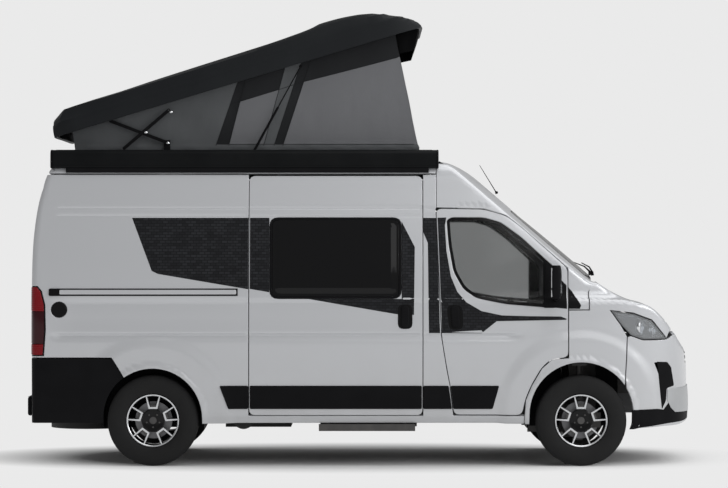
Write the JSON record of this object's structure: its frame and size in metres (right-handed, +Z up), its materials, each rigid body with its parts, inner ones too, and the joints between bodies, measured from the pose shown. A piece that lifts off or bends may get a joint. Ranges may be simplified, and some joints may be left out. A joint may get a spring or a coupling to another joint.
{
  "type": "camper van with a raised pop-up roof",
  "caption": "Large panel-van camper with a hinged pop-up roof and tent, side awning, sliding side door, hinged rear doors, bonnet, entry step and steered road wheels.",
  "frame": {"origin": "middle of the footprint at ground level, under the tyres", "axes": "+X forward, +Y to the left of the van, +Z up"},
  "size_m": [5.413, 2.508, 3.6748],
  "materials": {
    "body_paint": "light grey gloss paint",
    "black_trim": "grained black plastic",
    "clear_lens": "clear lens",
    "glass": "tinted glass",
    "red_lens": "dark red lens",
    "dark_acrylic": "black acrylic",
    "tent_cloth": "grey woven tent cloth",
    "seat_cloth": "dark seat cloth",
    "steel": "painted or bare steel",
    "tyre_rubber": "black rubber",
    "shell_paint": "anthracite satin shell",
    "black_metal": "black coated metal",
    "rod_chrome": "polished rod",
    "rim_alloy": "black alloy with machined lines"
  },
  "bodies": {
    "van": {"side_wall_left": "body_paint", "side_wall_right": "body_paint", "high_roof": "body_paint", "cab_frame": "body_paint", "floor_pan": "black_trim", "wheel_houses": "black_trim", "front_wings": "body_paint", "front_bumper": "body_paint", "crash_beam": "steel", "grille": "black_trim", "headlights": "clear_lens", "windscreen": "glass", "rear_bumper": "black_trim", "tail_lights": "red_lens", "sliding_door": "body_paint", "side_windows": "dark_acrylic", "door_rail": "black_trim", "awning": "black_trim", "roof_frame": "black_trim", "roof_tent": "tent_cloth", "dashboard": "black_trim", "cab_seats": "seat_cloth", "engine_block": "steel", "front_subframe": "steel", "rear_axle": "steel", "underfloor_tanks": "black_trim", "exhaust": "steel", "spare_wheel": "tyre_rubber"},
    "roof": {"roof_shell": "shell_paint"},
    "roof_arms_lower": {"lower_arms": "black_metal"},
    "roof_arms_upper": {"upper_arms": "black_metal"},
    "strut_barrel": {"strut_barrels": "black_metal"},
    "strut_rod": {"strut_rods": "rod_chrome"},
    "cab_door_left": {"front_door_left": "body_paint", "door_glass_left": "glass", "mirror_left": "black_trim"},
    "cab_door_right": {"front_door_right": "body_paint", "door_glass_right": "glass", "mirror_right": "black_trim"},
    "back_door_left": {"rear_door_left": "body_paint", "rear_glass_left": "glass"},
    "back_door_right": {"rear_door_right": "body_paint", "rear_glass_right": "glass"},
    "bonnet": {"bonnet": "body_paint"},
    "steer_left": {"knuckle_left": "steel"},
    "steer_right": {"knuckle_right": "steel"},
    "front_wheel_left": {"front_tyre_left": "tyre_rubber", "front_rim_left": "rim_alloy"},
    "front_wheel_right": {"front_tyre_right": "tyre_rubber", "front_rim_right": "rim_alloy"},
    "rear_wheel_left": {"rear_tyre_left": "tyre_rubber", "rear_rim_left": "rim_alloy"},
    "rear_wheel_right": {"rear_tyre_right": "tyre_rubber", "rear_rim_right": "rim_alloy"},
    "steering_wheel": {"steering_wheel": "black_trim"},
    "entry_step": {"entry_step": "black_metal"}
  },
  "joints": [
    {"name": "roof_hinge", "type": "hinge", "parent": "van", "child": "roof", "pos_m": [-2.8245, 0, 2.56], "axis": [0, 1, 0], "range_deg": [0, 16.8], "deforming": ["roof_tent"]},
    {"name": "lower_arm_hinge", "type": "hinge", "parent": "van", "child": "roof_arms_lower", "pos_m": [-1.5995, 0, 2.618], "axis": [0, 1, 0], "range_deg": [-36, 1]},
    {"name": "upper_arm_hinge", "type": "hinge", "parent": "roof", "child": "roof_arms_upper", "pos_m": [-1.58564, 0, 2.88181], "axis": [0, 1, 0], "range_deg": [-1, 36]},
    {"name": "strut_hinge", "type": "hinge", "parent": "van", "child": "strut_barrel", "pos_m": [-0.9035, 0, 2.522], "axis": [0, 1, 0], "range_deg": [-1, 60]},
    {"name": "strut_slide", "type": "slide", "parent": "strut_barrel", "child": "strut_rod", "axis": [0.4818, 0, 0.8763], "range_m": [-0.33, 0.002]},
    {"name": "cab_door_left_hinge", "type": "hinge", "parent": "van", "child": "cab_door_left", "pos_m": [1.6205, 1.012, 1], "axis": [0, 0, -1], "range_deg": [0, 65]},
    {"name": "cab_door_right_hinge", "type": "hinge", "parent": "van", "child": "cab_door_right", "pos_m": [1.6205, -1.012, 1], "axis": [0, 0, 1], "range_deg": [0, 65]},
    {"name": "back_door_left_hinge", "type": "hinge", "parent": "van", "child": "back_door_left", "pos_m": [-2.6875, 0.905, 1], "axis": [0, 0, -1], "range_deg": [0, 180]},
    {"name": "back_door_right_hinge", "type": "hinge", "parent": "van", "child": "back_door_right", "pos_m": [-2.6875, -0.905, 1], "axis": [0, 0, 1], "range_deg": [0, 180]},
    {"name": "bonnet_hinge", "type": "hinge", "parent": "van", "child": "bonnet", "pos_m": [1.9185, 0, 1.444], "axis": [0, -1, 0], "range_deg": [0, 55]},
    {"name": "steer_left", "type": "hinge", "parent": "van", "child": "steer_left", "pos_m": [1.7585, 0.85, 0.366], "axis": [0, 0, 1], "range_deg": [-33, 33]},
    {"name": "steer_right", "type": "hinge", "parent": "van", "child": "steer_right", "pos_m": [1.7585, -0.85, 0.366], "axis": [0, 0, 1], "range_deg": [-33, 33]},
    {"name": "front_axle_left", "type": "hinge", "parent": "steer_left", "child": "front_wheel_left", "pos_m": [1.7585, 0.905, 0.366], "axis": [0, 1, 0], "continuous": true},
    {"name": "front_axle_right", "type": "hinge", "parent": "steer_right", "child": "front_wheel_right", "pos_m": [1.7585, -0.905, 0.366], "axis": [0, 1, 0], "continuous": true},
    {"name": "rear_axle_left", "type": "hinge", "parent": "van", "child": "rear_wheel_left", "pos_m": [-1.6915, 0.895, 0.366], "axis": [0, 1, 0], "continuous": true},
    {"name": "rear_axle_right", "type": "hinge", "parent": "van", "child": "rear_wheel_right", "pos_m": [-1.6915, -0.895, 0.366], "axis": [0, 1, 0], "continuous": true},
    {"name": "steering_column", "type": "hinge", "parent": "van", "child": "steering_wheel", "pos_m": [1.1385, 0.39, 1.19], "axis": [-0.6691, 0, 0.7431], "range_deg": [-530, 530]},
    {"name": "step_slide", "type": "slide", "parent": "van", "child": "entry_step", "axis": [0, -1, 0], "range_m": [0, 0.25]}
  ],
  "couplings": [
    {"joint": "lower_arm_hinge", "follows": "roof_hinge", "ratio": -2.1012},
    {"joint": "upper_arm_hinge", "follows": "roof_hinge", "ratio": 2.0893},
    {"joint": "strut_hinge", "follows": "roof_hinge", "ratio": 3.506},
    {"joint": "strut_slide", "follows": "roof_hinge", "m_per_rad": -1.1152},
    {"joint": "steer_right", "follows": "steer_left", "ratio": 1},
    {"joint": "steering_column", "follows": "steer_left", "ratio": 16}
  ]
}
